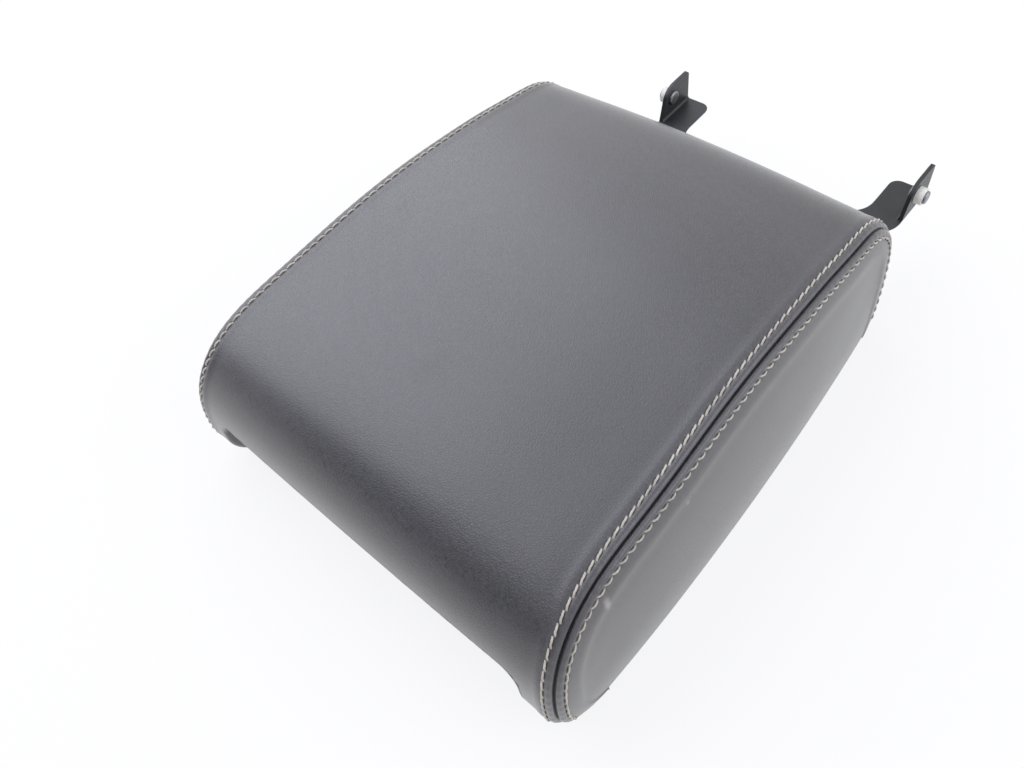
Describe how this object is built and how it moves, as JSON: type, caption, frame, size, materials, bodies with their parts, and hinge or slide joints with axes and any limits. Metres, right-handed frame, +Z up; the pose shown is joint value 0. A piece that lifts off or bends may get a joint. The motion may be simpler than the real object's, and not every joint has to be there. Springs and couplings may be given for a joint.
{
  "type": "car armrest lid",
  "caption": "Padded leather armrest lid of a car's centre console, with arched underside, steel hinge arms at the rear and a sprung release paddle at the front.",
  "frame": {"origin": "bottom centre of the bounding box, on the level of the cheeks' lower edges", "axes": "+X to the right, +Y to the rear, where the hinge arms are, +Z up"},
  "size_m": [0.242, 0.3256, 0.0961],
  "materials": {
    "leather": "fine pebble grain, semi-matte",
    "foam": "moulded open-cell foam",
    "carrier_plastic": "moulded",
    "liner_plastic": "moulded, fine grain",
    "bracket_steel": "satin black coat",
    "pin_steel": "turned",
    "bush_nylon": "moulded nylon",
    "insert_brass": "knurled",
    "screw_steel": "black zinc",
    "paddle_plastic": "moulded, fine grain",
    "spring_steel": "drawn wire",
    "stop_rubber": "moulded"
  },
  "bodies": {
    "lid": {"top_panel": "leather", "left_side_panel": "leather", "right_side_panel": "leather", "foam_pad": "foam", "lid_shell": "carrier_plastic", "lid_liner": "liner_plastic", "left_hinge_bracket": "bracket_steel", "right_hinge_bracket": "bracket_steel", "left_pivot_pin": "pin_steel", "right_pivot_pin": "pin_steel", "bracket_inserts": "insert_brass", "bracket_screws": "screw_steel", "liner_screws": "screw_steel", "latch_pin": "pin_steel", "latch_spring": "spring_steel", "left_bump_stop": "stop_rubber", "right_bump_stop": "stop_rubber"},
    "paddle": {"latch_paddle": "paddle_plastic"},
    "left_bush": {"left_pivot_bush": "bush_nylon"},
    "right_bush": {"right_pivot_bush": "bush_nylon"}
  },
  "joints": [
    {"name": "paddle_swing", "type": "hinge", "parent": "lid", "child": "paddle", "pos_m": [0.0065, -0.13175, 0.05], "axis": [-1, 0, 0], "range_deg": [0, 9], "stiffness_Nm_per_rad": 0.2, "deforming": ["latch_spring"]},
    {"name": "left_bush_spin", "type": "hinge", "parent": "lid", "child": "left_bush", "pos_m": [-0.0506, 0.14725, 0.052], "axis": [1, 0, 0], "continuous": true},
    {"name": "right_bush_spin", "type": "hinge", "parent": "lid", "child": "right_bush", "pos_m": [0.1036, 0.14725, 0.052], "axis": [1, 0, 0], "continuous": true}
  ]
}
